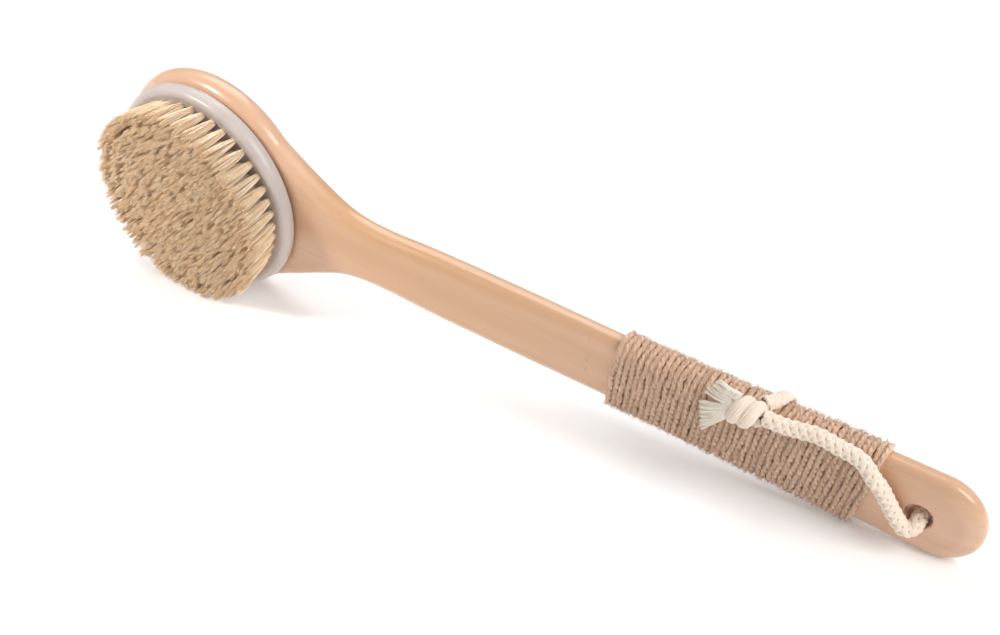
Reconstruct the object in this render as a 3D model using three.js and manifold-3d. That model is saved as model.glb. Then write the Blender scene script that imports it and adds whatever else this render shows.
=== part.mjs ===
// Long-handled body dry brush: a round head of bristle tufts on one flat wooden board, with a twine
// grip and a hanging cord through the end of the handle.
// Millimetres, +Z up. The brush lies on its long narrow side, leaning on its bristles.
//
// Everything is built in the brush's own frame: X runs from the head's centre to the handle's end,
// Y across the board, and Z out of the bristle side. The last block lays the finished brush down.
import * as THREE from "three";
import { mergeVertices } from "three/addons/utils/BufferGeometryUtils.js";
import Module from "manifold-3d";

const wasm = await Module();
wasm.setup();

const deg = THREE.MathUtils.degToRad;
const smooth = THREE.MathUtils.smoothstep;
const lerp = THREE.MathUtils.lerp;

// ---- driving dimensions ----
const GAP = 0.3; // left between pieces that touch

// wooden board
const HEAD_R = 47; // round head
const HEAD_TILT = 5.44; // degrees the head leans back from the handle's plane
const HEAD_DROP = 3.8; // head centre below the handle's front face
const HEAD_T = 11; // thickness of the head
const BAR_T = 9.6; // thickness of the handle
const END_R = 18.3; // rounded end of the handle
const TIP_X = 332.5; // end of the handle
const HEAD_ARC_END = 46; // degrees, where the head's circle runs into the neck
const END_ARC_START = 96; // degrees, where the handle runs into its round end
const BEND_SOFTNESS = 5; // how gently the head's face turns into the handle's face
const NECK = [
  // [distance from the head's centre, half width]
  [60, 18.6], [72, 14.5], [86, 13.7], [108, 14.7], [150, 15], [200, 14.9], [250, 16], [290, 17.7],
];
const HOLE_X = 309;
const HOLE_R = 5.3;
const HOLE_FLARE = 0.8; // softened mouth of the hanging hole

// plastic base that carries the bristles; heights are above the head's face
const SEAT_R = 40.3;
const SEAT_DEPTH = 1.5;
const BASE_R = 45;
const BASE_H = 6.7;
const WELL_R = 41.2; // shallow well that the tufts stand in
const WELL_FLOOR = 4.2;

// bristle tufts
const RINGS = [
  // [ring radius, number of tufts], outermost first
  [38.3, 44], [32.8, 38], [27.3, 31], [21.9, 25], [16.5, 19], [11, 13], [5.6, 7], [0, 1],
];
const TUFT_TOP = 22.2;
const TUFT_FOOT_R = 1.2;
const TUFT_TIP_R = 2.4;
const TUFT_SPLAY = 1.1; // how far the outer ring's tips lean outwards
const WEB_T = 1; // thin ring that joins the tufts of one ring
const WEB_W = 5.1;

// twine grip
const WRAP_START = 185.8;
const WRAP_END = 290.8;
const WRAP_SLANT_START = 0.02; // turns lean along the handle by this much per mm across it
const WRAP_SLANT_END = 0.125;
const TWINE = 2.3; // thickness of one layer of twine

// hanging cord
const CORD_R = 2.95;
const KNOT_AT = [242.2, 18.6, 6.5];
const KNOT_R = [6.9, 6.1, 6.1];
const CORD_ROUTE = [
  // out of the knot and along the upper front corner
  [249, 19.7, 6.4], [252.6, 19.5, 6.1], [257, 18.9, 5.2], [262.5, 19.3, 4.3], [267.9, 19.9, 3.7],
  [272.6, 19.7, 3.7], [277.3, 19, 3.7], [281.5, 18.8, 3.8], [285.6, 18.1, 4.2], [289.4, 15.9, 5.2],
  // over the grip's edge, down to the hole and through it
  [292.2, 13.3, 5.7], [294.6, 11.2, 5.4], [297.8, 6.2, 4.7], [301.2, 1.4, 4.3], [304.1, -2, 4.2],
  [306.7, -4.1, 3.7], [308.6, -4, 2.3], [309.4, -2.6, 0.3], [309.4, -2, -2.4], [309.3, -1.6, -5.4],
  // back along the rear face, over the upper narrow side and into the knot
  [309.1, -1.2, -8.6], [307.8, -0.8, -11.8], [304.6, -0.8, -14], [300, -1.2, -14.9],
  [294, -1.8, -15.4], [286, -2.2, -15.5], [277, -2.4, -15.5], [268, -2.1, -15.4],
  [260.6, -0.9, -15.4], [255.4, 2.2, -15.3], [252.6, 6.8, -15.2], [251.5, 11.8, -14.9],
  [251.1, 16, -14], [250.8, 19.1, -11.8], [250.5, 20.9, -8.7], [249.9, 21.5, -5.7],
  [248.9, 21.5, -3.2], [247.7, 21, -0.9], [246.4, 20.4, 1],
];
const CORD_STEPS = 60;
const TAILS = [
  // [root, tip, root radius, tip radius, name]
  [[235.2, 21.4, 6.6], [227.9, 24.3, 5.6], 2, 3, "cord_tail_upper"],
  [[235, 15.4, 6.6], [227.2, 5.2, 5.6], 2.1, 2.9, "cord_tail_lower"],
];

// resting attitude, down = lower narrow side with the bristle tips
const LEAN = 11.6; // degrees the bristle face turns towards the floor
const DIP = 4.99; // degrees the handle comes down because the head is wider

// ---- materials ----
const mat = (color, roughness) => new THREE.MeshStandardMaterial({ color, roughness, metalness: 0 });
const WOOD = mat(0xd8b291, 0.35);
const PLASTIC = mat(0xe9e4de, 0.4);
const BRISTLE = mat(0xdcc09a, 0.75);
const JUTE = mat(0xb8957a, 0.95);
const COTTON = mat(0xefe4d2, 0.9);

// ---- solids ----
function toSolid(geometry) {
  const g = geometry.index ? geometry.toNonIndexed() : geometry.clone();
  g.deleteAttribute("normal");
  g.deleteAttribute("uv");
  const m = mergeVertices(g, 1e-4);
  return new wasm.Manifold(
    new wasm.Mesh({
      numProp: 3,
      vertProperties: m.attributes.position.array,
      triVerts: new Uint32Array(m.index.array),
    }),
  );
}

function toGeometry(solid) {
  const m = solid.getMesh();
  const g = new THREE.BufferGeometry();
  g.setAttribute("position", new THREE.BufferAttribute(m.vertProperties, 3));
  g.setIndex(new THREE.BufferAttribute(m.triVerts, 1));
  g.computeVertexNormals();
  return g;
}

const meshOf = (name, geometry, material) => {
  const mesh = new THREE.Mesh(geometry, material);
  mesh.name = name;
  return mesh;
};

// Surface through closed loops of equal length; the first and last loops are filled across.
function loft(loops, fill) {
  const n = loops[0].length;
  const index = [];
  for (let r = 0; r + 1 < loops.length; r++)
    for (let i = 0; i < n; i++) {
      const a = r * n + i, b = r * n + ((i + 1) % n);
      index.push(a, b, a + n, b, b + n, a + n);
    }
  fill(index, 0, n, false);
  fill(index, (loops.length - 1) * n, n, true);
  const g = new THREE.BufferGeometry();
  g.setAttribute("position", new THREE.Float32BufferAttribute(loops.flat(2), 3));
  g.setIndex(index);
  return g;
}

// ---- shape of the board ----
const headEdge = (a) => [HEAD_R * Math.cos(deg(a)), HEAD_R * Math.sin(deg(a))];
const endEdge = (a) => [
  TIP_X - END_R + END_R * Math.cos(deg(a)),
  END_R * Math.sin(deg(a)),
];

// One side of the board's outline, from the head's far point to the handle's end.
function halfOutline() {
  const points = [];
  for (let i = 0; i <= 24; i++) points.push(headEdge(lerp(180, HEAD_ARC_END, i / 24)));
  const knots = [
    headEdge(HEAD_ARC_END + 4.5), headEdge(HEAD_ARC_END), ...NECK,
    endEdge(END_ARC_START), endEdge(END_ARC_START - 6.6),
  ];
  const spline = new THREE.SplineCurve(knots.map(([x, y]) => new THREE.Vector2(x, y)));
  const spans = knots.length - 1;
  for (let i = 1; i < (spans - 2) * 6; i++) {
    const p = spline.getPoint((1 + i / 6) / spans);
    points.push([p.x, p.y]);
  }
  for (let i = 0; i <= 14; i++) points.push(endEdge(lerp(END_ARC_START, 0, i / 14)));
  points[0][1] = 0;
  points.at(-1)[1] = 0;
  return points;
}

const faceZ = (x) => {
  const bend = HEAD_DROP / Math.tan(deg(HEAD_TILT));
  return (
    -Math.tan(deg(HEAD_TILT)) * BEND_SOFTNESS *
    Math.log1p(Math.exp(Math.min(50, (bend - x) / BEND_SOFTNESS)))
  );
};
const thickness = (x) => lerp(HEAD_T, BAR_T, smooth(x, 20, 90));
const edgeDepth = (x) => lerp(5.2, 4.2, smooth(x, 40, 95)); // rounding, through the board
const edgeInset = (x) =>
  5.2 - 0.8 * smooth(x, 40, 95) + 2.1 * smooth(x, 230, 300); // front rounding, across the board

const OUTLINE = halfOutline();

function halfWidth(x) {
  const i = OUTLINE.findIndex((p) => p[0] >= x);
  const [a, b] = [OUTLINE[i - 1], OUTLINE[i]];
  return lerp(a[1], b[1], (x - a[0]) / (b[0] - a[0]));
}

// The board: loops of the outline, drawn in at the front and back edges to round them.
function board() {
  const last = OUTLINE.length - 1;
  const normals = OUTLINE.map((p, i) => {
    if (i === 0) return [-1, 0];
    if (i === last) return [1, 0];
    const [a, b] = [OUTLINE[i - 1], OUTLINE[i + 1]];
    const l = Math.hypot(b[0] - a[0], b[1] - a[1]);
    return [-(b[1] - a[1]) / l, (b[0] - a[0]) / l];
  });
  const loopAt = (front, turn) => {
    const half = OUTLINE.map(([x, y], i) => {
      const inset = (front ? edgeInset(x) : edgeDepth(x)) * (1 - Math.sin(turn));
      const drop = edgeDepth(x) * (1 - Math.cos(turn));
      const qx = x - normals[i][0] * inset;
      const qy = y - normals[i][1] * inset;
      return [qx, qy, front ? faceZ(qx) - drop : faceZ(qx) - thickness(qx) + drop];
    });
    return [...half, ...half.slice(1, last).reverse().map(([x, y, z]) => [x, -y, z])];
  };
  const steps = [0, 1, 2, 3, 4, 5].map((k) => (k / 5) * (Math.PI / 2));
  const loops = [
    ...steps.map((t) => loopAt(true, t)),
    ...steps.toReversed().map((t) => loopAt(false, t)),
  ];
  // Rungs across the face, because the face bends along the board.
  const rungs = (index, first, n, back) => {
    const other = (i) => first + ((n - i) % n);
    for (let i = 0; i < last; i++) {
      const quad = [first + i, first + i + 1, other(i + 1), other(i)];
      if (!back) quad.reverse();
      const [a, b, c, d] = quad;
      if (c !== b) index.push(a, b, c);
      if (d !== a && c !== d) index.push(a, c, d);
    }
  };
  return loft(loops, rungs);
}

// ---- sub-parts ----
const turned = (profile, segments) =>
  new THREE.LatheGeometry(profile.map(([r, h]) => new THREE.Vector2(r, h)), segments)
    .rotateX(Math.PI / 2);

function toHead(geometry) {
  return geometry.rotateY(deg(-HEAD_TILT)).translate(0, 0, -HEAD_DROP);
}

function woodHandle() {
  const hole = turned(
    [
      [0, -BAR_T - 2], [HOLE_R + 2 * HOLE_FLARE, -BAR_T - 2], [HOLE_R + HOLE_FLARE, -BAR_T],
      [HOLE_R + 0.25 * HOLE_FLARE, -BAR_T + HOLE_FLARE], [HOLE_R, -BAR_T + 2 * HOLE_FLARE],
      [HOLE_R, -2 * HOLE_FLARE], [HOLE_R + 0.25 * HOLE_FLARE, -HOLE_FLARE],
      [HOLE_R + HOLE_FLARE, 0], [HOLE_R + 2 * HOLE_FLARE, 2], [0, 2],
    ],
    32,
  ).translate(HOLE_X, 0, 0);
  const seat = toHead(turned([[0, -SEAT_DEPTH], [SEAT_R, -SEAT_DEPTH], [SEAT_R, 5], [0, 5]], 96));
  const solid = toSolid(board()).subtract(toSolid(hole)).subtract(toSolid(seat));
  return meshOf("wood_handle", toGeometry(solid), WOOD);
}

function bristleBase() {
  const profile = [
    [0, GAP - SEAT_DEPTH], [SEAT_R - GAP, GAP - SEAT_DEPTH], [SEAT_R - GAP, GAP],
    [43.6, GAP], [44.6, 0.9], [BASE_R, 2.1], [BASE_R - 0.1, 3.5], [44.3, 4.9], [43.3, 6],
    [42.3, BASE_H - 0.15], [41.8, BASE_H], [41.4, BASE_H - 0.1], [WELL_R, 6.1],
    [WELL_R, WELL_FLOOR], [0, WELL_FLOOR],
  ];
  return meshOf("bristle_base", toHead(turned(profile, 96)), PLASTIC);
}

function tuftRing(number, radius, count) {
  const low = WELL_FLOOR + GAP, high = low + WEB_T;
  const inner = Math.max(0, radius - WEB_W / 2), outer = radius + WEB_W / 2;
  const profile = [[inner, low], [outer, low], [outer, high], [inner, high]];
  if (inner > 0) profile.push(profile[0]);
  const web = toSolid(turned(profile, Math.max(12, count * 2)));
  const length = TUFT_TOP - high + 0.4;
  const splay = Math.atan((TUFT_SPLAY * radius) / RINGS[0][0] / length);
  const tufts = Array.from({ length: count }, (_, i) =>
    toSolid(
      new THREE.CylinderGeometry(TUFT_TIP_R, TUFT_FOOT_R, length, 7)
        .rotateX(Math.PI / 2)
        .translate(0, 0, length / 2)
        .rotateY(splay)
        .translate(radius, 0, high - 0.4)
        .rotateZ(((i + (number % 2) / 2) / count) * 2 * Math.PI),
    ),
  );
  const solid = tufts.reduce((all, tuft) => all.add(tuft), web);
  return meshOf("tuft_ring_" + number, toHead(toGeometry(solid)), BRISTLE);
}

// Section of the board across the handle, grown outwards by `grow`.
function barSection(x, grow) {
  const w = halfWidth(x) + grow;
  const top = faceZ(x) + grow, low = faceZ(x) - thickness(x) - grow;
  const deep = edgeDepth(x) + grow, wide = edgeInset(x) + grow;
  const corner = [0, 1, 2, 3, 4].map((k) => (k / 4) * (Math.PI / 2));
  const right = [
    ...corner.map((t) => [w - wide * (1 - Math.sin(t)), top - deep * (1 - Math.cos(t))]),
    ...corner.toReversed().map((t) => [w - deep * (1 - Math.sin(t)), low + deep * (1 - Math.cos(t))]),
  ];
  return [...right, ...right.toReversed().map(([y, z]) => [-y, z])];
}

function twineWrap() {
  const stations = 14;
  const loopsAt = (grow) =>
    Array.from({ length: stations + 1 }, (_, i) => {
      const t = i / stations;
      const x = lerp(WRAP_START, WRAP_END, t);
      const slant = lerp(WRAP_SLANT_START, WRAP_SLANT_END, t);
      return barSection(x, grow).map(([y0], k) => {
        const at = x + slant * y0;
        const [y, z] = barSection(at, grow)[k];
        return [at, y, z];
      });
    });
  const outer = loopsAt(TWINE), inner = loopsAt(GAP);
  const loops = [...inner, ...outer.toReversed(), inner[0]];
  return meshOf("twine_wrap", loft(loops, () => {}), JUTE);
}

function knotGeometry(grow) {
  const [a, b, c] = KNOT_R.map((r) => r + grow);
  return new THREE.SphereGeometry(1, 20, 14).scale(a, b, c).translate(...KNOT_AT);
}

function hangingCord() {
  const route = new THREE.CatmullRomCurve3(
    CORD_ROUTE.map((p) => new THREE.Vector3(...p)), false, "centripetal",
  );
  const section = new THREE.Shape().absarc(0, 0, CORD_R, 0, 2 * Math.PI);
  const tube = new THREE.ExtrudeGeometry(section, {
    extrudePath: route, steps: CORD_STEPS, curveSegments: 5, bevelEnabled: false,
  });
  const solid = toSolid(tube).subtract(toSolid(knotGeometry(GAP)));
  return meshOf("hanging_cord", toGeometry(solid), COTTON);
}

function cordTail([root, tip, rootR, tipR, name]) {
  const from = new THREE.Vector3(...root), to = new THREE.Vector3(...tip);
  const along = to.clone().sub(from);
  const frustum = new THREE.CylinderGeometry(tipR, rootR, along.length(), 10)
    .scale(1, 1, 0.75)
    .applyQuaternion(new THREE.Quaternion().setFromUnitVectors(
      new THREE.Vector3(0, 1, 0), along.clone().normalize(),
    ))
    .translate(...from.add(to).multiplyScalar(0.5).toArray());
  return meshOf(name, toGeometry(toSolid(frustum).subtract(toSolid(knotGeometry(GAP)))), COTTON);
}

// ---- assembly ----
const brush = new THREE.Group();
brush.add(woodHandle(), bristleBase());
RINGS.forEach(([radius, count], i) => brush.add(tuftRing(i + 1, radius, count)));
const lasting = new THREE.Group().add(brush);
brush.add(twineWrap());
brush.rotation.x = Math.PI / 2 + deg(LEAN); // up on its narrow side
lasting.rotation.y = deg(DIP);

const object = new THREE.Group().add(lasting);
object.updateMatrixWorld(true);
const box = new THREE.Box3().setFromObject(object, true); // without the cord
lasting.position.set(-(box.min.x + box.max.x) / 2, -(box.min.y + box.max.y) / 2, -box.min.z);
brush.add(hangingCord(), meshOf("cord_knot", knotGeometry(0), COTTON), ...TAILS.map(cordTail));

export default object;
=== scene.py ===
import math
import bmesh
import bpy
import numpy as np
from mathutils import Matrix, Vector


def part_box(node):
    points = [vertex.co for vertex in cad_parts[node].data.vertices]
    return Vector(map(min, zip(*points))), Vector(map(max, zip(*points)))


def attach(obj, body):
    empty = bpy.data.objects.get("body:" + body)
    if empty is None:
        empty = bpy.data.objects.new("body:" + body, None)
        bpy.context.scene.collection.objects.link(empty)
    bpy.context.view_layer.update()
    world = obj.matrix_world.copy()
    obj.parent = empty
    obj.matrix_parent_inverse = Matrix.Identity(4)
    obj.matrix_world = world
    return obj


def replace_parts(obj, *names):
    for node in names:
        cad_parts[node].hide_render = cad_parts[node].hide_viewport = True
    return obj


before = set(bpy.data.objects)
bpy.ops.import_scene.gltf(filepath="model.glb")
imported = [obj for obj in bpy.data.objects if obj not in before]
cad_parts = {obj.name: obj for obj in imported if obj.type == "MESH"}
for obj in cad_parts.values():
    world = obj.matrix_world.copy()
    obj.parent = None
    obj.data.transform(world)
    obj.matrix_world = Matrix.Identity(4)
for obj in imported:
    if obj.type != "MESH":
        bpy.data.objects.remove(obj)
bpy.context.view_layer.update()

# The brush's own frame, in millimetres: X from the head's centre along the handle, Y across the
# board, Z out of the bristle side. LEAN and DIP lay it on its narrow side, as in the CAD.
LEAN, DIP = 11.6, 4.99
rad, pi = math.radians, math.pi
TURN = Matrix.Rotation(rad(DIP), 4, "Y") @ Matrix.Rotation(rad(90 + LEAN), 4, "X")

# ---- board ----
HEAD_R, HEAD_TILT, HEAD_DROP, HEAD_T, BAR_T = 47.0, rad(5.44), 3.8, 11.0, 9.6
END_R, TIP_X, HEAD_ARC_END, END_ARC_START, BEND_SOFTNESS = 18.3, 332.5, 46, 96, 5.0
NECK = [(60, 18.6), (72, 14.5), (86, 13.7), (108, 14.7), (150, 15), (200, 14.9), (250, 16),
        (290, 17.7)]
HOLE_X, HOLE_R, HOLE_FLARE = 309.0, 5.3, 0.8
EDGE_BREAK = 0.65  # angle at which the rounded front edge leaves the flat face of the handle
SEAT_R, SEAT_DEPTH = 40.3, 1.5
# The cane's growth node, in metres: the place, half thickness and half length of its line of specks.
NODE_X, NODE_THICK, NODE_REACH = 0.1785, 0.0007, 0.0105
# ---- base and bristles ----
BASE_R, BASE_H, PLATE_H = 45.0, 6.7, 5.7
RINGS = [(38.3, 44), (32.8, 38), (27.3, 31), (21.9, 25), (16.5, 19), (11, 13), (5.6, 7), (0, 1)]
TUFT_TOP, TUFT_SPLAY = 22.0, 1.6
HAIRS, LOCKS, GATHER, HAIR_R, FOOT_R, FAN_R = 250, 12, 0.48, 0.13, 1.1, 2.75
HAIR_SIDES, HAIR_POINTS = 3, 4
TIP_TURN, OUTER_TIP_TURN = 0.7, 0.25
# ---- twine ----
WRAP_START, WRAP_END, SLANT_START, SLANT_END, TWINE = 185.8, 290.8, 0.02, 0.125, 2.3
SECTION, PER_TURN, TURNS, TWIST = 160, 220, 44, 5.2
PLY_OFF, PLY_R, LAID, STRAY = 0.42, 0.74, 10000, 8000
# ---- cord ----
CORD_D, CORD_LENGTH, CORD_CORE, CORD_PRESS = 5.9, 171.0, 0.74, 0.68
KNOT_AT = (242.2, 18.6, 6.5)
CORD_ROUTE = [  # metres, in the brush's frame, from the knot round to the knot
    (0.249, 0.0197, 0.0064), (0.2526, 0.0195, 0.0061), (0.257, 0.0189, 0.0052),
    (0.2625, 0.0193, 0.0043), (0.2679, 0.0199, 0.0037), (0.2726, 0.0197, 0.0037),
    (0.2773, 0.019, 0.0037), (0.2815, 0.0188, 0.0038), (0.2856, 0.0181, 0.0042),
    (0.2894, 0.0159, 0.0052), (0.2922, 0.0133, 0.0057), (0.2946, 0.0112, 0.0054),
    (0.2978, 0.0062, 0.0047), (0.3012, 0.0014, 0.0043), (0.3041, -0.002, 0.0042),
    (0.3067, -0.0041, 0.0037), (0.3086, -0.004, 0.0023), (0.3094, -0.0026, 0.0003),
    (0.3094, -0.002, -0.0024), (0.3093, -0.0016, -0.0054), (0.3091, -0.0012, -0.0086),
    (0.3078, -0.0008, -0.0118), (0.3046, -0.0008, -0.014), (0.3, -0.0012, -0.0149),
    (0.294, -0.0018, -0.0154), (0.286, -0.0022, -0.0155), (0.277, -0.0024, -0.0155),
    (0.268, -0.0021, -0.0154), (0.2606, -0.0009, -0.0154), (0.2554, 0.0022, -0.0153),
    (0.2526, 0.0068, -0.0152), (0.2515, 0.0118, -0.0149), (0.2511, 0.016, -0.014),
    (0.2508, 0.0191, -0.0118), (0.2505, 0.0209, -0.0087), (0.2499, 0.0215, -0.0057),
    (0.2489, 0.0215, -0.0032), (0.2477, 0.021, -0.0009), (0.2464, 0.0204, 0.001),
]


def smooth(x, a, b):
    """0 at a, 1 at b and a smooth step between; b may be less than a."""
    t = np.clip((np.asarray(x, float) - a) / (b - a), 0, 1)
    return t * t * (3 - 2 * t)


def catmull(points, per, power=0.0):
    """A Catmull-Rom curve through points; power 0 is uniform, 0.5 centripetal."""
    p = np.array(points, float)
    p = np.vstack([2 * p[0] - p[1], p, 2 * p[-1] - p[-2]])
    gaps = np.maximum(np.linalg.norm(np.diff(p, axis=0), axis=1), 1e-6) ** power
    out = []
    for i in range(1, len(p) - 2):
        a, b, c = gaps[i - 1], gaps[i], gaps[i + 1]
        m1 = ((p[i] - p[i - 1]) / a - (p[i + 1] - p[i - 1]) / (a + b) + (p[i + 1] - p[i]) / b) * b
        m2 = ((p[i + 1] - p[i]) / b - (p[i + 2] - p[i]) / (b + c) + (p[i + 2] - p[i + 1]) / c) * b
        t = np.linspace(0, 1, per, endpoint=False)[:, None]
        out.append((2 * t**3 - 3 * t**2 + 1) * p[i] + (t**3 - 2 * t**2 + t) * m1
                   + (-2 * t**3 + 3 * t**2) * p[i + 1] + (t**3 - t**2) * m2)
    return np.vstack(out + [p[-2:-1]])


def spaced(line, step):
    """The same line with its points evenly spaced."""
    along = np.r_[0, np.cumsum(np.linalg.norm(np.diff(line, axis=0), axis=1))]
    at = np.linspace(0, along[-1], int(round(along[-1] / step)) + 1)
    return np.stack([np.interp(at, along, line[:, k]) for k in range(line.shape[1])], 1)


def ring_points(r, a0, a1, n, cx=0.0):
    a = np.radians(np.linspace(a0, a1, n))
    return np.c_[cx + r * np.cos(a), r * np.sin(a)]


def half_outline():
    """The board's outline on one side of its long axis, from the head's far end to the tip."""
    head = ring_points(HEAD_R, 180, HEAD_ARC_END, 70)
    cx = TIP_X - END_R
    end = ring_points(END_R, END_ARC_START, 0, 44, cx)
    start = ring_points(HEAD_R, HEAD_ARC_END + 4.5, HEAD_ARC_END, 2)
    stop = ring_points(END_R, END_ARC_START, END_ARC_START - 6.6, 2, cx)
    knots = np.vstack([start, NECK, stop])
    mid = catmull(knots, 20)[20:-20]
    line = np.vstack([head, mid[1:-1], end])
    line[0, 1] = line[-1, 1] = 0
    return line


OUTLINE = half_outline()


def face_z(x):
    """Height of the front face: level along the handle, tilted at the head, with a soft bend."""
    bend = HEAD_DROP / math.tan(HEAD_TILT)
    return -math.tan(HEAD_TILT) * BEND_SOFTNESS * np.log1p(
        np.exp(np.minimum(50, (bend - np.asarray(x, float)) / BEND_SOFTNESS)))


def thickness(x):
    return HEAD_T + (BAR_T - HEAD_T) * smooth(x, 20, 90)


def edge_depth(x):
    return 5.2 - 1.0 * smooth(x, 40, 95)


def edge_inset(x):
    return 5.2 - 0.8 * smooth(x, 40, 95) + 2.1 * smooth(x, 230, 300)


def half_width(x):
    return np.interp(x, OUTLINE[:, 0], OUTLINE[:, 1])


# ---- mesh helpers; shapes are worked out in the brush's frame in millimetres ----
def brush_object(name, verts, faces, material=None, slot=None):
    """A smooth-shaded mesh; one with a material rides the body. The slot argument is not used."""
    me = bpy.data.meshes.new(name)
    placed = np.asarray(verts) / 1000 @ np.array(PLACE.to_3x3()).T + np.array(PLACE.translation)
    me.from_pydata(placed.tolist(), [], [list(map(int, f)) for f in faces])
    me.validate()
    me.update()
    me.polygons.foreach_set("use_smooth", [True] * len(me.polygons))
    ob = bpy.data.objects.new(name, me)
    bpy.context.scene.collection.objects.link(ob)
    if material:
        me.materials.append(material)
        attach(ob, "root")
    return ob


def sweep(lines, radii, sides, ref=(1.0, 0, 0)):
    """Tubes along lines, an array (tubes, points, 3); radii and ref broadcast to it."""
    lines = np.asarray(lines, float)
    n, m, _ = lines.shape
    radii = np.broadcast_to(radii, (n, m))
    t = np.gradient(lines, axis=1)
    t /= np.maximum(np.linalg.norm(t, axis=2, keepdims=True), 1e-9)
    ref = np.broadcast_to(ref, lines.shape)
    u = ref - (ref * t).sum(2, keepdims=True) * t
    u /= np.maximum(np.linalg.norm(u, axis=2, keepdims=True), 1e-9)
    v = np.cross(t, u)
    ang = np.arange(sides) / sides * 2 * pi
    ring = np.cos(ang)[:, None] * u[:, :, None, :] + np.sin(ang)[:, None] * v[:, :, None, :]
    verts = (lines[:, :, None, :] + ring * radii[:, :, None, None]).reshape(-1, 3)
    base = (np.arange(n)[:, None, None] * m + np.arange(m - 1)[None, :, None]) * sides
    i = np.arange(sides)[None, None, :]
    j = (i + 1) % sides
    faces = np.stack([base + i, base + j, base + sides + j, base + sides + i], 3).reshape(-1, 4)
    return verts, faces


def joined(parts):
    """One mesh from several pairs of vertices and faces."""
    verts, faces, shift = [], [], 0
    for v, f in parts:
        verts.append(v)
        faces.extend((np.asarray(f) + shift).tolist())
        shift += len(v)
    return np.vstack(verts), faces


def frames(line):
    """Tangents and two normals along a line, without twist."""
    t = np.gradient(line, axis=0)
    t /= np.linalg.norm(t, axis=1)[:, None]
    u = np.zeros_like(t)
    a = np.array([0, 0, 1.0]) if abs(t[0, 2]) < 0.8 else np.array([0, 1.0, 0])
    u[0] = a - (a @ t[0]) * t[0]
    u[0] /= np.linalg.norm(u[0])
    for i in range(1, len(t)):
        w = u[i - 1] - (u[i - 1] @ t[i]) * t[i]
        u[i] = w / np.linalg.norm(w)
    return t, u, np.cross(t, u)


# ---- material helpers ----
class Nodes:
    def __init__(self, name):
        self.material = bpy.data.materials.new(name)
        self.material.use_nodes = True
        self.tree = self.material.node_tree
        self.shader = self.tree.nodes["Principled BSDF"]

    def add(self, kind, values=(), **props):
        node = self.tree.nodes.new(kind)
        for key, value in props.items():
            setattr(node, key, value)
        for key, value in dict(values).items():
            self.put(node.inputs[key], value)
        return node

    def put(self, socket, value):
        if isinstance(value, bpy.types.NodeSocket):
            self.tree.links.new(value, socket)
        else:
            socket.default_value = value

    def set(self, **values):
        for key, value in values.items():
            self.put(self.shader.inputs[key.replace("_", " ")], value)

    def coords(self, scale=(1, 1, 1)):
        """The brush's own frame in metres, stretched by scale."""
        where = self.add("ShaderNodeTexCoord").outputs["Object"]
        own = self.add("ShaderNodeMapping", {"Vector": where, "Location": PLACE.translation,
                                             "Rotation": PLACE.to_euler()}, vector_type="TEXTURE")
        return self.add("ShaderNodeMapping", {"Vector": own.outputs[0], "Scale": scale}).outputs[0]

    def noise(self, coords, scale, detail, rough=0.55, distort=0.0):
        values = {"Vector": coords, "Scale": scale, "Detail": detail, "Roughness": rough,
                  "Distortion": distort}
        return self.add("ShaderNodeTexNoise", values).outputs["Fac"]

    def math(self, op, a, b=0.0, clamp=False):
        node = self.add("ShaderNodeMath", operation=op, use_clamp=clamp)
        for socket, value in zip(node.inputs, (a, b)):
            self.put(socket, value)
        return node.outputs[0]

    def ramp(self, fac, *stops):
        node = self.add("ShaderNodeValToRGB", {"Fac": fac})
        ends = node.color_ramp.elements
        while len(ends) < len(stops):
            ends.new(0.5)
        for e, (at, colour) in zip(ends, stops):
            e.position = at
            e.color = (*colour, 1) if len(colour) == 3 else colour
        return node.outputs[0]

    def mix(self, fac, a, b):
        node = self.add("ShaderNodeMix", data_type="RGBA")
        for socket, value in zip([s for s in node.inputs if s.enabled], (fac, a, b)):
            self.put(socket, value)
        return [s for s in node.outputs if s.enabled][0]

    def streaks(self, colour, noise, full, clear, tone):
        """Tints colour with tone where the noise is low: full is (level, amount), clear a level."""
        fac = self.ramp(noise, (full[0], grey(full[1])), (clear, grey(0)))
        return self.mix(fac, colour, (*srgb(tone), 1))

    def bump(self, height, strength, distance):
        values = {"Height": height, "Strength": strength, "Distance": distance}
        self.put(self.shader.inputs["Normal"], self.add("ShaderNodeBump", values).outputs[0])


def srgb(code):
    """The linear colour of six hex digits."""
    c = [int(code[i:i + 2], 16) / 255 for i in (0, 2, 4)]
    return tuple(v / 12.92 if v <= 0.04045 else ((v + 0.055) / 1.055) ** 2.4 for v in c)


def grey(v):
    return (v, v, v)


def wood_material():
    n = Nodes("lacquered_wood")
    broad = n.noise(n.coords((5, 60, 60)), 1.0, 3, 0.5, 0.4)
    fibre = n.noise(n.coords((14, 520, 520)), 1.0, 4, 0.6)
    fleck = n.noise(n.coords((60, 1500, 1500)), 1.0, 2, 0.5)
    colour = n.ramp(broad, (0.3, srgb("cb9f7c")), (0.5, srgb("d3a989")), (0.7, srgb("dbb297")))
    colour = n.streaks(colour, fibre, (0.35, 0.25), 0.62, "cb9c78")
    colour = n.streaks(colour, fleck, (0.3, 0.2), 0.42, "bf9068")
    # Painted shade: the neck is darkened towards this colour, standing in for shade.
    colour = n.mix(neck_painted_shade(n), colour, (*srgb("c8955f"), 1))
    colour = n.mix(growth_node(n), colour, (*srgb("9a7048"), 1))
    n.set(Base_Color=colour, Roughness=n.ramp(fibre, (0.3, grey(0.4)), (0.7, grey(0.33))),
          Coat_Weight=0.6, Coat_Roughness=0.1)
    n.bump(fibre, 0.06, 0.0003)
    return n.material


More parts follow.
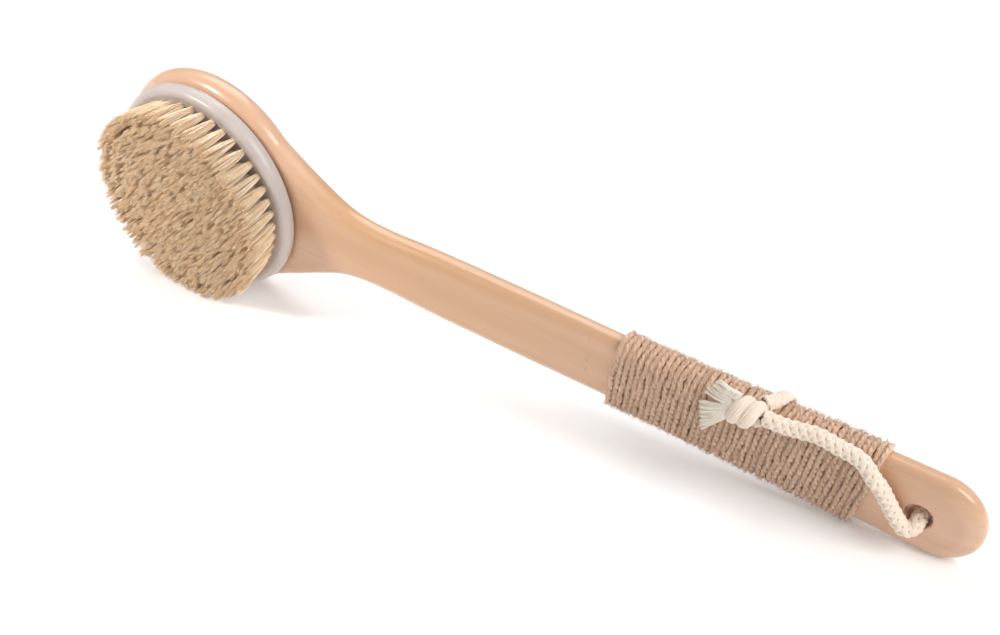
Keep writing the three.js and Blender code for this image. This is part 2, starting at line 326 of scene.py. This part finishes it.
def neck_painted_shade(n):
    """Painted shade: the neck is tinted a darker, deeper tone, standing in for the shade that falls
    there, not a tone of the cane itself.
    """
    x = n.add("ShaderNodeSeparateXYZ", {"Vector": n.coords()}).outputs[0]
    start = n.math("MULTIPLY", n.math("SUBTRACT", x, 0.04), 30, clamp=True)
    end = n.math("MULTIPLY", n.math("SUBTRACT", 0.19, x), 11, clamp=True)
    return n.math("MULTIPLY", n.math("MULTIPLY", start, end), 0.45)


def growth_node(n):
    """A faint line of dark specks across the front face, where the cane has its node."""
    split = n.add("ShaderNodeSeparateXYZ", {"Vector": n.coords()})
    x, y, z = split.outputs
    wobble = n.math("MULTIPLY", n.noise(n.coords(), 110, 2), 0.005)
    off = n.math("ABSOLUTE", n.math("SUBTRACT", n.math("ADD", x, wobble), NODE_X))
    line = n.math("SUBTRACT", 1.0, n.math("DIVIDE", off, NODE_THICK), clamp=True)
    specks = n.ramp(n.noise(n.coords(), 520, 2), (0.5, grey(0)), (0.66, grey(1)))
    side = n.math("ABSOLUTE", n.math("SUBTRACT", y, 0.0025))
    middle = n.math("MULTIPLY", n.math("SUBTRACT", NODE_REACH, side), 400, clamp=True)
    front = n.math("MULTIPLY", n.math("ADD", z, 0.004), 900, clamp=True)
    marks = n.math("MULTIPLY", n.math("MULTIPLY", line, specks), 0.75)
    return n.math("MULTIPLY", marks, n.math("MULTIPLY", middle, front))


def plastic_material():
    n = Nodes("milky_plastic")
    haze = n.noise(n.coords(), 60, 2)
    n.set(Base_Color=n.ramp(haze, (0.3, srgb("b9aea8")), (0.7, srgb("c2b7b1"))), Roughness=0.3,
          Subsurface_Weight=0.4, Subsurface_Scale=0.004, Subsurface_Radius=(1.0, 0.85, 0.75),
          IOR=1.48)
    n.bump(n.noise(n.coords(), 700, 2), 0.03, 0.0002)
    return n.material


def bristle_material():
    n = Nodes("natural_bristle")
    tuft = n.noise(n.coords(), 230, 2, 0.6)
    lock = n.noise(n.coords((1, 1, 0.06)), 1100, 2, 0.6)
    hair = n.noise(n.coords((1, 1, 0.05)), 5200, 2, 0.6)
    colour = n.ramp(tuft, (0.3, srgb("f6d9b4")), (0.5, srgb("fce5c6")), (0.72, srgb("fff2dd")))
    colour = n.streaks(colour, lock, (0.34, 0.45), 0.5, "dcb285")
    colour = n.streaks(colour, hair, (0.35, 0.35), 0.58, "d8ae82")
    x, _, z = n.add("ShaderNodeSeparateXYZ", {"Vector": n.coords()}).outputs
    along_x = n.math("MULTIPLY", x, math.sin(HEAD_TILT))
    height = n.math("SUBTRACT", n.math("MULTIPLY", z, math.cos(HEAD_TILT)), along_x)
    ends = n.math("MULTIPLY", n.math("SUBTRACT", height, 0.0155), 250, clamp=True)
    colour = n.mix(n.math("MULTIPLY", ends, 0.3), colour, (*srgb("e0b482"), 1))
    n.set(Base_Color=colour, Roughness=0.6, Specular_IOR_Level=0.2)
    return n.material


def jute_material(name, dark, middle, light):
    n = Nodes(name)
    patch = n.noise(n.coords((1, 0.15, 0.15)), 420, 3, 0.6)
    fibre = n.noise(n.coords((1, 0.16, 0.16)), 3400, 3, 0.65)
    colour = n.ramp(patch, (0.3, srgb(dark)), (0.5, srgb(middle)), (0.72, srgb(light)))
    colour = n.streaks(colour, fibre, (0.38, 0.45), 0.6, "b08663")
    n.set(Base_Color=colour, Roughness=0.9, Sheen_Weight=0.7, Sheen_Roughness=0.5)
    n.bump(fibre, 0.7, 0.0003)
    return n.material


def cotton_material(name, dark, light):
    n = Nodes(name)
    patch = n.noise(n.coords(), 260, 2)
    fibre = n.noise(n.coords(), 3000, 3, 0.6)
    colour = n.ramp(patch, (0.3, srgb(dark)), (0.7, srgb(light)))
    colour = n.streaks(colour, fibre, (0.36, 0.35), 0.55, "dcc5a9")
    n.set(Base_Color=colour, Roughness=0.85, Sheen_Weight=0.3, Sheen_Roughness=0.5)
    n.bump(fibre, 0.35, 0.0003)
    return n.material


# ---- camera ----
def add_camera():
    azimuth, elevation, roll, distance = rad(26.25), rad(30.7), rad(6.38), 0.688
    target = Vector((-0.0012, -0.0048, 0.0387))
    level = math.cos(elevation)
    look = Vector((-math.sin(azimuth) * level, math.cos(azimuth) * level, -math.sin(elevation)))
    right0 = look.cross(Vector((0, 0, 1))).normalized()
    up0 = right0.cross(look)
    right = right0 * math.cos(roll) + up0 * math.sin(roll)
    up = up0 * math.cos(roll) - right0 * math.sin(roll)
    cam = bpy.data.objects.new("camera", bpy.data.cameras.new("camera"))
    cam.data.lens, cam.data.sensor_width, cam.data.sensor_fit = 66.2, 36, "HORIZONTAL"
    cam.data.clip_start, cam.data.clip_end = 0.05, 20
    m = Matrix((right, up, -look)).transposed().to_4x4()
    m.translation = target - look * distance
    cam.matrix_world = m
    bpy.context.scene.collection.objects.link(cam)
    bpy.context.scene.camera = cam


# ---- where the brush lies: its board's box in the CAD is matched ----
def place():
    """The move that lays the brush's own frame where the CAD has its board."""
    low, high = (Vector(c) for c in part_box("wood_handle"))
    shell = np.vstack([half_shell(front, turn) for front in (True, False)
                       for turn in np.linspace(0, pi / 2, 8)])
    shell = np.vstack([shell, shell * [1, -1, 1]]) / 1000 @ np.array(TURN.to_3x3()).T
    middle = Vector((shell.min(0) + shell.max(0)) / 2)
    return Matrix.Translation((low + high) / 2 - middle) @ TURN


def half_normals():
    """The outline's outward normals."""
    d = np.gradient(OUTLINE, axis=0)
    d /= np.linalg.norm(d, axis=1)[:, None]
    n = np.c_[-d[:, 1], d[:, 0]]
    n[0], n[-1] = (-1, 0), (1, 0)
    return n


NORMALS = half_normals()


def half_shell(front, turn, more=0.0):
    """Half a loop round the board: turn is 0 where the edge meets a face, pi / 2 at the side."""
    x = OUTLINE[:, 0]
    start = EDGE_BREAK * smooth(x, 50, 110) * front
    turn = start + turn * (1 - 2 * start / pi)
    reach = edge_inset(x) if front else edge_depth(x)
    inset = reach * (1 - np.sin(turn)) / (1 - np.sin(start)) + more
    drop = edge_depth(x) * (1 - np.cos(turn) / np.cos(start))
    q = OUTLINE - NORMALS * inset[:, None]
    z = face_z(q[:, 0]) - drop if front else face_z(q[:, 0]) - thickness(q[:, 0]) + drop
    return np.c_[q, z]


PLACE = place()
add_camera()


# ---- cord, braided from eight strands of three yarns ----
def pressed(line):
    """How flat the cord lies where it is pulled over the upper narrow side, and the way it faces."""
    y, z = line[:, 1], line[:, 2]
    flat = smooth(z, 1.5, -2.0) * smooth(y, 5, 11) * CORD_PRESS
    out = line - np.c_[line[:, 0], np.clip(y, -10, 13), 0 * z - BAR_T / 2]
    return flat[:, None], out / np.linalg.norm(out, axis=1)[:, None]


def braid(line, radius, half_strands=4, yarns=3, lay=13.0):
    """Strands that run both ways round the cord and pass over and under each other."""
    u, v = frames(line)[1:]
    flat, out = pressed(line)
    s = np.r_[0, np.cumsum(np.linalg.norm(np.diff(line, axis=0), axis=1))]
    turn = 2 * pi * s / (s[-1] / round(s[-1] / lay))
    lines = []
    for way in (1, -1):
        for k in range(half_strands):
            for y in range(yarns):
                beside = y - (yarns - 1) / 2
                a = 2 * pi * k / half_strands + way * turn + beside * 0.3
                over = way * 0.09 * np.cos(half_strands * turn)
                r = radius * (0.8 - 0.05 * abs(beside) + over)
                off = r[:, None] * (np.cos(a)[:, None] * u + np.sin(a)[:, None] * v)
                lines.append(line + off - (off * out).sum(1)[:, None] * flat * out)
    return sweep(lines, radius * 0.23, 6, ref=u + 0.3 * v)


route = spaced(catmull(np.array(CORD_ROUTE) * 1000, 24, 0.5), 0.5)
flat, out = pressed(route)
route -= CORD_D / 2 * flat * out
COTTON = cotton_material("cotton", "eddbc7", "f3e4d4")
# A lighter copy of the cotton for the frayed fans: painted light, lifting them against the shade
# their loose fibres cast on each other.
LOOSE_COTTON_PAINTED_LIGHT = cotton_material("loose_cotton_painted_light", "fbf0e1", "fff8ec")
core = sweep(route[None], CORD_D / 2 * (CORD_CORE - 0.9 * flat.T), 12, ref=frames(route)[1])
cord = brush_object("braided_cord", *joined([braid(route, CORD_D / 2), core]), COTTON, "cotton")


# ---- knot and frayed tails ----
def bundle(points, radius, seed, yarns=30):
    """A fat strand of soft fibres laid side by side, with a slow twist."""
    line = spaced(catmull(points, 16, 0.5), 0.5)
    u, v = frames(line)[1:]
    rng = np.random.default_rng(seed)
    s = np.linspace(0, 1, len(line))
    ends = np.minimum(1, 0.75 + 3 * np.minimum(s, 1 - s))
    lines = []
    for k in range(yarns):
        a = 2 * pi * k / yarns + 0.9 * s + rng.uniform(-0.08, 0.08)
        r = radius * ends * (0.9 + 0.02 * np.sin(9 * s + rng.uniform(0, 6)))
        lines.append(line + r[:, None] * (np.cos(a)[:, None] * u + np.sin(a)[:, None] * v))
    outer = sweep(lines, radius * 0.1, 5, ref=u)
    return joined([outer, sweep(line[None], radius * 0.94 * ends, 24, ref=u)])


def knot():
    """Two turns of cord side by side, with the strands passing under them."""
    along, out = np.array([-1.0, 0, 0]), np.array([0, 0.55, 0.83])
    across = np.cross(along, out)
    turns = []
    for k, shift in enumerate((-2.2, 2.1)):
        points = [(-5.6 + 1.6 * k, 0.4, -1.6), (shift - 1.6, -1.6, -2.4)]
        for d in range(-60, 245, 30):
            lean = 0.5 * math.sin(rad(2 * d)) - 1.8 * math.cos(rad(d))
            points.append((shift + lean, 3.1 * math.cos(rad(d)), 3.2 * math.sin(rad(d))))
        points += [(shift + 1.2, -1.4, -1.9), (5.6, 1.2 - 2.4 * k, -1)]
        placed = [np.array(KNOT_AT) + a * along + b * across + c * out for a, b, c in points]
        turns.append(bundle(placed, radius=2.9, seed=5 + k))
    return joined(turns)


def fan(root, tip, thick, count, seed, clumps):
    """A flat fan from one short line to a longer one: soft yarns below, loose fibres on top."""
    rng = np.random.default_rng(seed)
    (r0, r1), (t0, t1) = np.array(root, float), np.array(tip, float)
    out = np.cross(t1 - t0, (r0 + r1 - t0 - t1) / 2)
    out *= np.sign(out[2]) / np.linalg.norm(out)

    def strands(w, up, reach, width, points=9):
        n = len(w)
        s = np.linspace(0, 1, points)[None, :]
        clump = ((np.round(w * clumps) - w * clumps) / clumps)[:, None]
        w = w[:, None] + clump * 0.35 * s**3 + rng.normal(0, 0.012, n)[:, None] * s
        start, end = r0 + (r1 - r0) * w[..., None], t0 + (t1 - t0) * w[..., None]
        rise = thick * (0.65 + 0.35 * np.sin(pi * s)) * up[:, None] + 0.8 * np.sin(pi * s * 0.9)
        curl = 0.18 * s * np.sin(6 * s + rng.uniform(0, 6, n)[:, None])
        shorter = 1 - 0.1 * np.abs(clump) * clumps
        lines = start + (end - start) * (s * reach[:, None] * shorter)[..., None]
        return sweep(lines + out * (rise + curl)[..., None], width(s), 4)

    w = rng.uniform(0, 1, count)
    up = rng.uniform(-1, 1, count) * np.sqrt(1 - (2 * w - 1)**2)
    loose = strands(w, up, 0.96 + rng.normal(0, 0.05, count), lambda s: 0.15 - 0.06 * s)
    base_w = np.linspace(0.03, 0.97, 34)
    base = strands(base_w, 0 * base_w, 0.92 + 0 * base_w, lambda s: 0.62 - 0.25 * s**3)
    return joined([loose, base])


knot_piece = brush_object("overhand_knot", *knot(), COTTON, "cotton")
upper = fan([(239.4, 24.6, 5.4), (238.6, 19, 7.2)], [(229.8, 24.2, 2.6), (225.8, 17, 4.4)],
            thick=1.4, count=1500, seed=3, clumps=3)
lower = fan([(238.6, 20.8, 7), (237.6, 14.4, 5.8)], [(224.6, 12.4, 4.4), (227, -1.4, 3.9)],
            thick=1.5, count=2400, seed=4, clumps=6)
tail_upper = brush_object("frayed_end_upper", *upper, LOOSE_COTTON_PAINTED_LIGHT, "cotton")
tail_lower = brush_object("frayed_end_lower", *lower, LOOSE_COTTON_PAINTED_LIGHT, "cotton")
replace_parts(cord, "hanging_cord")
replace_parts(knot_piece, "cord_knot")
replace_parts(tail_upper, "cord_tail_upper")
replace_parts(tail_lower, "cord_tail_lower")


# ---- wooden board ----
def board():
    """The board's skin: rounded edges, rungs across both faces, and the hanging hole."""
    steps = np.linspace(0, pi / 2, 11)
    on_face = (0.5, 1.2)  # loops on the flat faces, this far in from where the edges end
    halves = ([half_shell(True, 0, inset) for inset in on_face[::-1]]
              + [half_shell(True, t) for t in steps]
              + [half_shell(False, t) for t in steps[::-1]]
              + [half_shell(False, 0, inset) for inset in on_face])
    loops = [np.vstack([h, h[1:-1][::-1] * [1, -1, 1]]) for h in halves]
    m, last = len(loops[0]), len(OUTLINE) - 1
    bm = bmesh.new()
    v = [[bm.verts.new(p) for p in loop] for loop in loops]
    for r in range(len(v) - 1):
        for i in range(m):
            j = (i + 1) % m
            bm.faces.new((v[r][i], v[r][j], v[r + 1][j], v[r + 1][i]))
    holed = [i for i in range(last) if abs(OUTLINE[i, 0] - HOLE_X) < 2 * HOLE_R]
    mouths = []
    for loop, z, way in ((v[0], 0, 1), (v[-1], -BAR_T, -1)):
        for i in set(range(last)) - set(holed):
            quad = dict.fromkeys((loop[i], loop[i + 1], loop[-i - 1], loop[-i % m]))
            bm.faces.new(list(quad))
        mouths.append(hole_rim(bm, loop, holed, z, way, m))
    bore(bm, *mouths)
    bmesh.ops.recalc_face_normals(bm, faces=bm.faces)
    bm.verts.index_update()
    made = [p.co[:] for p in bm.verts], [[p.index for p in f.verts] for f in bm.faces]
    bm.free()
    return made


def edge_of(bm, a, b):
    return bm.edges.get((a, b)) or bm.edges.new((a, b))


def circle(bm, radius, z, sides=64):
    turns = np.arange(sides) / sides * 2 * pi
    return [bm.verts.new((HOLE_X + radius * math.cos(a), radius * math.sin(a), z)) for a in turns]


def hole_rim(bm, loop, holed, z, way, m):
    """Fills the flat face round the hanging hole and returns the ring at its mouth."""
    ring = circle(bm, HOLE_R + HOLE_FLARE + 0.3, z)
    first, end = holed[0], holed[-1] + 1
    edges = [edge_of(bm, ring[i - 1], ring[i]) for i in range(len(ring))]
    for i in holed:
        edges += [edge_of(bm, loop[i], loop[i + 1]), edge_of(bm, loop[-i % m], loop[-i - 1])]
    edges += [edge_of(bm, loop[first], loop[-first]), edge_of(bm, loop[end], loop[-end])]
    bmesh.ops.triangle_fill(bm, use_beauty=True, edges=edges, normal=(0, 0, way))
    return ring


def bore(bm, front, back):
    """The hole's wall, flared at both mouths."""
    flare = [(HOLE_R + HOLE_FLARE * (1 - math.sin(t)), HOLE_FLARE * (1 - math.cos(t)))
             for t in np.linspace(0, pi / 2, 7)]
    rings = [front] + [circle(bm, r, -d) for r, d in flare]
    rings += [circle(bm, r, d - BAR_T) for r, d in flare[::-1]] + [back]
    for a, b in zip(rings, rings[1:]):
        for i in range(len(a)):
            bm.faces.new((a[i - 1], a[i], b[i], b[i - 1]))


def to_head(verts):
    """From the head's own frame, level with its face, to the brush's."""
    c, s = math.cos(HEAD_TILT), math.sin(HEAD_TILT)
    return np.asarray(verts) @ np.array([[c, 0, -s], [0, 1, 0], [s, 0, c]]).T + [0, 0, -HEAD_DROP]


def lathe(profile, segments):
    """A closed solid turned round Z from [radius, height] points, capped at both ends."""
    a = np.arange(segments) / segments * 2 * pi
    p = np.array(profile, float)
    verts = np.stack([np.outer(p[:, 0], np.cos(a)), np.outer(p[:, 0], np.sin(a)),
                      np.repeat(p[:, 1:2], segments, 1)], 2).reshape(-1, 3)
    faces = []
    for low in range(0, (len(p) - 1) * segments, segments):
        high = low + segments
        for i in range(segments):
            j = (i + 1) % segments
            faces.append((low + i, low + j, high + j, high + i))
    faces.append(tuple(range(segments))[::-1])
    faces.append(tuple((len(p) - 1) * segments + i for i in range(segments)))
    return verts, faces


def cut(ob, verts, faces):
    """Cuts a solid out of an object."""
    tool = brush_object("cutter", verts, faces)
    mod = ob.modifiers.new("cut", "BOOLEAN")
    mod.object, mod.operation, mod.solver = tool, "DIFFERENCE", "EXACT"
    bpy.context.view_layer.update()
    done = bpy.data.meshes.new_from_object(ob.evaluated_get(bpy.context.evaluated_depsgraph_get()))
    ob.modifiers.clear()
    ob.data = done
    bpy.data.objects.remove(tool)


handle = brush_object("wooden_board", *board(), wood_material(), "wood")
seat, seat_faces = lathe([(SEAT_R, -SEAT_DEPTH), (SEAT_R, 5)], segments=160)
cut(handle, to_head(seat), seat_faces)
handle.data.set_sharp_from_angle(angle=rad(35))
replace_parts(handle, "wood_handle")


# ---- plastic base ----
def base_profile():
    """From the plug in the board's seat, round the thick rim, to the plate that holds the tufts."""
    plug, gap, well = SEAT_R - 0.3, 0.3, PLATE_H + 0.6
    foot_r, dome_w, dome_h = 1.9, 3.1, 3.8
    back = [(0.05, gap - SEAT_DEPTH), (plug, gap - SEAT_DEPTH), (plug, gap), (43.6, gap)]
    foot = [(BASE_R - foot_r + foot_r * math.sin(t), 2.3 - 2.0 * math.cos(t))
            for t in np.linspace(0.5, pi / 2, 6)]
    dome = [(BASE_R - dome_w + dome_w * math.cos(t)**0.8, BASE_H - dome_h + dome_h * math.sin(t))
            for t in np.linspace(0.05, pi / 2 - 0.02, 14)]
    lip = [(41.3, BASE_H - 0.08), (40.7, well + 0.1), (40.2, well), (0.05, well)]
    return back + foot + dome + lip


rim, rim_faces = lathe(base_profile(), segments=240)
base = brush_object("bristle_plate", to_head(rim), rim_faces, plastic_material(), "plastic")
base.data.set_sharp_from_angle(angle=rad(40))
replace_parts(base, "bristle_base")


# ---- bristles: each tuft is a bunch of tapering hairs that spread from their hole ----
def disc_points(count, rng):
    r, a = np.sqrt(rng.uniform(0, 1, count)), rng.uniform(0, 2 * pi, count)
    return np.c_[r * np.cos(a), r * np.sin(a)]


def tuft(radius, around, rng):
    """Hairs from one hole: they spread, gather in small locks, and end at uneven heights."""
    axis = np.array([math.cos(around), math.sin(around), 0])
    side = np.array([-axis[1], axis[0], 0])
    s = np.linspace(0, 1, HAIR_POINTS)[None, :, None]
    out = radius / RINGS[0][0]
    foot = disc_points(HAIRS, rng)
    locks = disc_points(LOCKS, rng) * 0.95
    own = np.argmin(np.linalg.norm(foot[:, None] - locks[None], axis=2), axis=1)
    tip = foot * (1 - GATHER) + locks[own] * GATHER
    tip = tip * (FAN_R + 0.3 * out) * rng.uniform(0.9, 1.15, (HAIRS, 1))
    tip += rng.normal(0, 0.16, (HAIRS, 2)) + rng.normal(0, 0.3, 2) + (TUFT_SPLAY * out**3, 0)
    spread = s**0.75
    xy = foot[:, None] * FOOT_R * (1 - spread) + tip[:, None] * spread
    top = TUFT_TOP + rng.normal(0, 0.35) + rng.normal(0, 0.45, LOCKS)[own]
    top = top + rng.normal(0, 0.8, HAIRS)
    low = PLATE_H - 0.6
    z = low + (top - low)[:, None, None] * s
    lines = (radius + xy[..., :1]) * axis + xy[..., 1:] * side + z * np.array([0, 0, 1.0])
    return sweep(lines, HAIR_R * (1 - 0.6 * s[..., 0]**3), HAIR_SIDES)


def soften_tips(ob, amount):
    """Turns the hairs' normals towards their tips, as rounded and split tips shade."""
    me = ob.data
    n = np.empty(len(me.vertices) * 3)
    me.vertex_normals.foreach_get("vector", n)
    up = np.array(PLACE.to_3x3()) @ (-math.sin(HEAD_TILT), 0, math.cos(HEAD_TILT))
    share = np.repeat(np.linspace(0, 1, HAIR_POINTS)**2, HAIR_SIDES)
    share = np.tile(share, len(me.vertices) // len(share))
    n = n.reshape(-1, 3) + amount * share[:, None] * up
    me.normals_split_custom_set_from_vertices((n / np.linalg.norm(n, axis=1)[:, None]).tolist())


def tuft_ring(number, radius, count, rng):
    """One ring of tufts; every second ring is turned by half a step."""
    first = (number % 2) / 2
    return joined([tuft(radius, (i + first) / count * 2 * pi, rng) for i in range(count)])


BRISTLE = bristle_material()
rng = np.random.default_rng(11)
for number, (radius, count) in enumerate(RINGS, 1):
    hairs, hair_faces = tuft_ring(number, radius, count, rng)
    ring = brush_object(f"bristle_ring_{number}", to_head(hairs), hair_faces, BRISTLE, "bristle")
    soften_tips(ring, TIP_TURN if number > 1 else OUTER_TIP_TURN)
    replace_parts(ring, f"tuft_ring_{number}")


# ---- twine grip ----
def bar_section(x, grow):
    """The board's section across the handle, grown outwards, from the middle of the back round."""
    w = float(half_width(x)) + grow
    top, low = float(face_z(x)) + grow, float(face_z(x) - thickness(x)) - grow
    deep, wide = float(edge_depth(x)) + grow, float(edge_inset(x)) + grow
    t = np.linspace(0, pi / 2, 9)
    right = np.vstack([
        np.c_[w - wide * (1 - np.sin(t)), top - deep * (1 - np.cos(t))],
        np.c_[w - deep * (1 - np.sin(t)), low + deep * (1 - np.cos(t))][::-1]])
    loop = np.vstack([[[0, low]], (right * [-1, 1])[::-1], right, [[0, low]]])
    girth = np.linalg.norm(np.diff(loop, axis=0), axis=1).sum()
    return spaced(loop, girth / SECTION)[:SECTION + 1]


def wavering(rng, at, length, every, amount):
    """Smooth random values at places along a length."""
    knots = np.arange(0, length + 2 * every, every)
    return np.interp(at, knots, rng.normal(0, amount, len(knots)))


def twine_path(grow, rng):
    """The twine's middle line, turn beside turn round the handle, leaning by the slant."""
    table_x = np.linspace(WRAP_START - 8, WRAP_END + 8, 40)
    table = np.array([bar_section(x, grow) for x in table_x])
    k = np.arange(TURNS * PER_TURN)
    part = k / len(k)
    x0 = WRAP_START + TWINE / 2 + (WRAP_END - WRAP_START - TWINE) * part
    slant = SLANT_START + (SLANT_END - SLANT_START) * part
    round_at = (k % PER_TURN) / PER_TURN * SECTION
    c = np.clip(round_at.astype(int), 0, SECTION - 1)
    h = (round_at - c)[:, None]
    yz = np.zeros((len(k), 2))
    for _ in range(3):
        f = (x0 + slant * yz[:, 0] - table_x[0]) / (table_x[1] - table_x[0])
        i = np.clip(f.astype(int), 0, len(table_x) - 2)
        g = (f - i)[:, None]
        low = table[i, c] * (1 - h) + table[i, c + 1] * h
        high = table[i + 1, c] * (1 - h) + table[i + 1, c + 1] * h
        yz = low * (1 - g) + high * g
    return np.c_[x0 + slant * yz[:, 0] + wavering(rng, k, len(k), 9, 0.26), yz]


def twine_frame(line):
    """Lengths along the twine, and its directions along the handle and outwards."""
    s = np.r_[0, np.cumsum(np.linalg.norm(np.diff(line, axis=0), axis=1))]
    t = np.gradient(line, axis=0)
    t /= np.linalg.norm(t, axis=1)[:, None]
    ref = np.array([1.0, 0, 0]) - t[:, :1] * t
    ref /= np.linalg.norm(ref, axis=1)[:, None]
    return s, ref, np.cross(ref, t)


def plies(line, s, ref, out, rng):
    """Two soft plies twisted together."""
    made = []
    turn = 2 * pi * s / TWIST + wavering(rng, s, s[-1], 8, 0.6)
    for k in (0, 1):
        a = turn + k * pi
        ply = line + PLY_OFF * (np.cos(a)[:, None] * ref + np.sin(a)[:, None] * out)
        made.append((ply, PLY_R * (1 + wavering(rng, s, s[-1], 3, 0.06))))
    return made


def fibres(line, ref, out, count, rng, length, rise, width):
    """Fibres along the twine: they lie on it, or stand off it where rise is large."""
    i = rng.integers(5, len(line) - 5, count)
    t = line[i + 1] - line[i]
    t /= np.linalg.norm(t, axis=1)[:, None]
    a = rng.uniform(-1.2, 1.2, count)[:, None]
    away = np.cos(a) * out[i] + np.sin(a) * ref[i]
    q = np.linspace(0, 1, 4)[None, :]
    long = rng.uniform(*length, count)[:, None] * q
    way = t * rng.choice([-1, 1], count)[:, None] + ref[i] * rng.normal(0, 0.2, count)[:, None]
    lift = rng.uniform(0, 1, count)[:, None]**2 * rise
    bow = rng.normal(0, 0.2, count)[:, None] * np.sin(q * 4)
    lines = ((line[i] + away * 1.08)[:, None] + way[:, None] * long[..., None]
             + away[:, None] * (lift * long * q)[..., None] + ref[i][:, None] * bow[..., None])
    return sweep(lines, width * (1 - 0.5 * (2 * q - 1)**2), 3)


JUTE = jute_material("jute_twine", "e5bd9b", "f0caaa", "fad9bc")
# A lighter copy of the jute for the stray fibres: painted light, standing in for the light the fuzz
# catches.
JUTE_FUZZ_PAINTED_LIGHT = jute_material("jute_fuzz_painted_light", "ebcfb3", "f4dcc3", "fbe8d2")
rng = np.random.default_rng(21)
line = twine_path(TWINE / 2, rng)
s, ref, out = twine_frame(line)
both = plies(line, s, ref, out, rng)
half = len(line) // 2
for k, span in enumerate((slice(0, half + 1), slice(half, len(line))), 1):
    turns = joined([sweep(p[None, span], r[None, span], 6, ref=ref[None, span]) for p, r in both])
    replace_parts(brush_object(f"twine_turns_{k}", *turns, JUTE, "twine"), "twine_wrap")
laid = fibres(line, ref, out, LAID, rng, length=(1.5, 5), rise=0.02, width=0.09)
stray = fibres(line, ref, out, STRAY, rng, length=(0.8, 3.0), rise=0.35, width=0.04)
brush_object("twine_fibres", *laid, JUTE, "twine")
brush_object("twine_fuzz", *stray, JUTE_FUZZ_PAINTED_LIGHT, "twine")

# ---- floor and light ----
FLOOR_GLOW, SKY = 0.19, 0.37
sweep_paper = Nodes("white_sweep")
paper = sweep_paper.noise(sweep_paper.coords(), 40, 2)
white = sweep_paper.ramp(paper, (0.3, grey(0.85)), (0.7, grey(0.87)))
sweep_paper.set(Base_Color=white, Roughness=0.9, Emission_Color=(1, 1, 1, 1),
                Emission_Strength=FLOOR_GLOW)
bpy.ops.mesh.primitive_plane_add(size=12, location=(0, 0, 0))
floor = bpy.context.object
floor.name = "floor"
floor.data.materials.append(sweep_paper.material)


def area_light(name, place, aim, size, power, spread=180):
    """A square light of this size in metres and power in watts."""
    data = bpy.data.lights.new(name, "AREA")
    data.shape, data.size, data.size_y, data.energy = "RECTANGLE", size, size, power
    data.spread = rad(spread)
    ob = bpy.data.objects.new(name, data)
    ob.location = place
    ob.rotation_euler = (Vector(aim) - Vector(place)).to_track_quat("-Z", "Y").to_euler()
    bpy.context.scene.collection.objects.link(ob)


area_light("key_softbox", (0.95, -0.22, 0.9), (0, 0, 0.03), 0.8, 12.5)
area_light("top_softbox", (-0.45, 0.55, 1.25), (0, 0, 0.03), 1.0, 8.5)
area_light("head_fill", (-0.5, -0.42, 0.4), (-0.16, 0, 0.045), 0.15, 0.115, spread=30)
world = bpy.data.worlds.new("studio")
world.use_nodes = True
background = world.node_tree.nodes["Background"]
background.inputs["Color"].default_value = (1, 1, 1, 1)
background.inputs["Strength"].default_value = SKY
bpy.context.scene.world = world
bpy.context.scene.view_settings.view_transform = "Standard"
bpy.context.scene.view_settings.look = "None"
